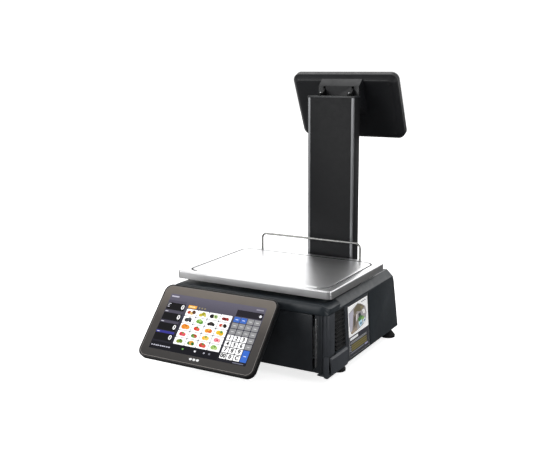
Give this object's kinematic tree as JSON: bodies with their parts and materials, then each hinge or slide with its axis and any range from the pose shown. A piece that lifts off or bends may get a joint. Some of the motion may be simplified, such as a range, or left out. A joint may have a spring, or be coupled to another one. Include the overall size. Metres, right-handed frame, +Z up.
{
  "type": "retail price scale",
  "caption": "Counter-top price scale with a flat steel pan, tilting operator touch display, side label-printer bay and a pole-mounted customer display.",
  "frame": {"origin": "point of the counter plane straight below the centre of the weighing pan", "axes": "+Z up, -Y towards the operator, +Y towards the customer, +X to the operator's right, where the label printer is"},
  "size_m": [0.404, 0.6116, 0.6207],
  "materials": {
    "housing_black": "satin",
    "panel_black": "semi-gloss",
    "trim_grey": "satin",
    "grip_black": "matte",
    "tray_metal": "satin",
    "steel_bright": "bright",
    "pan_steel": "brushed",
    "rail_steel": "polished",
    "cast_aluminium": "cast",
    "pole_paint": "satin",
    "strip_aluminium": "satin",
    "cap_black": "satin",
    "cable_black": "matte",
    "vial_liquid": "clear",
    "circuit_green": "solder mask",
    "supply_case": "zinc plated",
    "spindle_plastic": "satin",
    "pad_rubber": "matte",
    "gear_plastic": "natural",
    "display_black": "satin",
    "bezel_grey": "satin",
    "display_glass": "back-painted touch glass",
    "screen_panel": "panel",
    "label_paper": "paper",
    "foot_rubber": "matte"
  },
  "bodies": {
    "base": {"base_tray": "tray_metal", "upper_housing": "housing_black", "front_panel": "panel_black", "slit_jamb": "panel_black", "corner_pillar": "trim_grey", "corner_bumper": "trim_grey", "peel_bar": "steel_bright", "rear_io_plate": "grip_black", "mains_inlet": "grip_black", "io_sockets": "steel_bright", "housing_screws": "steel_bright", "pole_column": "pole_paint", "pole_edge_strips": "strip_aluminium", "pole_cap": "cap_black", "pole_socket": "tray_metal", "pole_cable": "cable_black", "pole_hinge_lugs": "steel_bright", "operator_arm": "panel_black", "load_cell": "cast_aluminium", "load_cell_block": "tray_metal", "overload_stops": "steel_bright", "level_vial": "vial_liquid", "main_board": "circuit_green", "power_supply": "supply_case", "printer_chassis": "tray_metal", "printer_motor": "supply_case", "roll_spindle": "spindle_plastic", "spool_post": "spindle_plastic", "door_hinge_pins": "steel_bright"},
    "rocker": {"power_rocker": "grip_black"},
    "load_platform": {"pan_spider": "cast_aluminium", "spider_pads": "pad_rubber"},
    "pan": {"weighing_pan": "pan_steel", "guard_rail": "rail_steel"},
    "operator_head": {"operator_bezel": "bezel_grey", "operator_glass": "display_glass", "operator_screen": "screen_panel", "operator_rear_cover": "display_black", "operator_board": "circuit_green", "operator_knuckle": "panel_black", "operator_hinge_pin": "steel_bright"},
    "customer_head": {"customer_bezel": "display_black", "customer_glass": "display_glass", "customer_screen": "screen_panel", "customer_rear_cover": "display_black", "customer_board": "circuit_green", "customer_hinge_block": "display_black", "customer_hinge_pin": "steel_bright"},
    "door": {"printer_door": "trim_grey", "door_grip": "grip_black", "door_label": "label_paper"},
    "paper_roll": {"label_roll": "label_paper"},
    "platen": {"platen_roller": "pad_rubber"},
    "pinion": {"motor_pinion": "gear_plastic"},
    "head": {"print_head": "cast_aluminium"},
    "take_up_spool": {"liner_spool": "spindle_plastic"},
    "foot_front_left_body": {"foot_front_left": "foot_rubber"},
    "foot_front_right_body": {"foot_front_right": "foot_rubber"},
    "foot_rear_left_body": {"foot_rear_left": "foot_rubber"},
    "foot_rear_right_body": {"foot_rear_right": "foot_rubber"}
  },
  "joints": [
    {"name": "weigh_travel", "type": "slide", "parent": "base", "child": "load_platform", "axis": [0, 0, 1], "range_m": [-0.0006, 0], "stiffness_N_per_m": 200000, "springref_m": 0.00022},
    {"name": "pan_lift_off", "type": "slide", "parent": "load_platform", "child": "pan", "axis": [0, 0, 1], "range_m": [0, 0.06]},
    {"name": "operator_tilt", "type": "hinge", "parent": "base", "child": "operator_head", "pos_m": [-0.0385, -0.18107, 0.13871], "axis": [1, 0, 0], "range_deg": [-20, 15]},
    {"name": "customer_tilt", "type": "hinge", "parent": "base", "child": "customer_head", "pos_m": [0.04475, 0.203, 0.578], "axis": [1, 0, 0], "range_deg": [-10, 25]},
    {"name": "door_swing", "type": "hinge", "parent": "base", "child": "door", "pos_m": [0.1944, 0.047, 0.01982], "axis": [-0.0594, 0, 0.9982], "range_deg": [0, 100]},
    {"name": "roll_spin", "type": "hinge", "parent": "base", "child": "paper_roll", "pos_m": [0.125, -0.008, 0.082], "axis": [0, 0, 1], "continuous": true},
    {"name": "platen_spin", "type": "hinge", "parent": "base", "child": "platen", "pos_m": [0.169, -0.134, 0.082], "axis": [0, 0, 1], "continuous": true},
    {"name": "pinion_spin", "type": "hinge", "parent": "base", "child": "pinion", "pos_m": [0.17151, -0.11013, 0.043], "axis": [0, 0, 1], "continuous": true},
    {"name": "head_release", "type": "hinge", "parent": "base", "child": "head", "pos_m": [0.138, -0.108, 0.082], "axis": [0, 0, 1], "range_deg": [-18, 0], "stiffness_Nm_per_rad": 2, "springref_deg": 5.73},
    {"name": "spool_spin", "type": "hinge", "parent": "base", "child": "take_up_spool", "pos_m": [0.096, -0.112, 0.082], "axis": [0, 0, 1], "continuous": true},
    {"name": "power_press", "type": "hinge", "parent": "base", "child": "rocker", "pos_m": [-0.092, 0.183, 0.066], "axis": [1, 0, 0], "range_deg": [0, 12]},
    {"name": "foot_front_left_level", "type": "slide", "parent": "base", "child": "foot_front_left_body", "axis": [0, 0, 1], "range_m": [-0.006, 0.003]},
    {"name": "foot_front_right_level", "type": "slide", "parent": "base", "child": "foot_front_right_body", "axis": [0, 0, 1], "range_m": [-0.006, 0.003]},
    {"name": "foot_rear_left_level", "type": "slide", "parent": "base", "child": "foot_rear_left_body", "axis": [0, 0, 1], "range_m": [-0.006, 0.003]},
    {"name": "foot_rear_right_level", "type": "slide", "parent": "base", "child": "foot_rear_right_body", "axis": [0, 0, 1], "range_m": [-0.006, 0.003]}
  ],
  "couplings": [
    {"joint": "pinion_spin", "follows": "platen_spin", "ratio": -3}
  ]
}
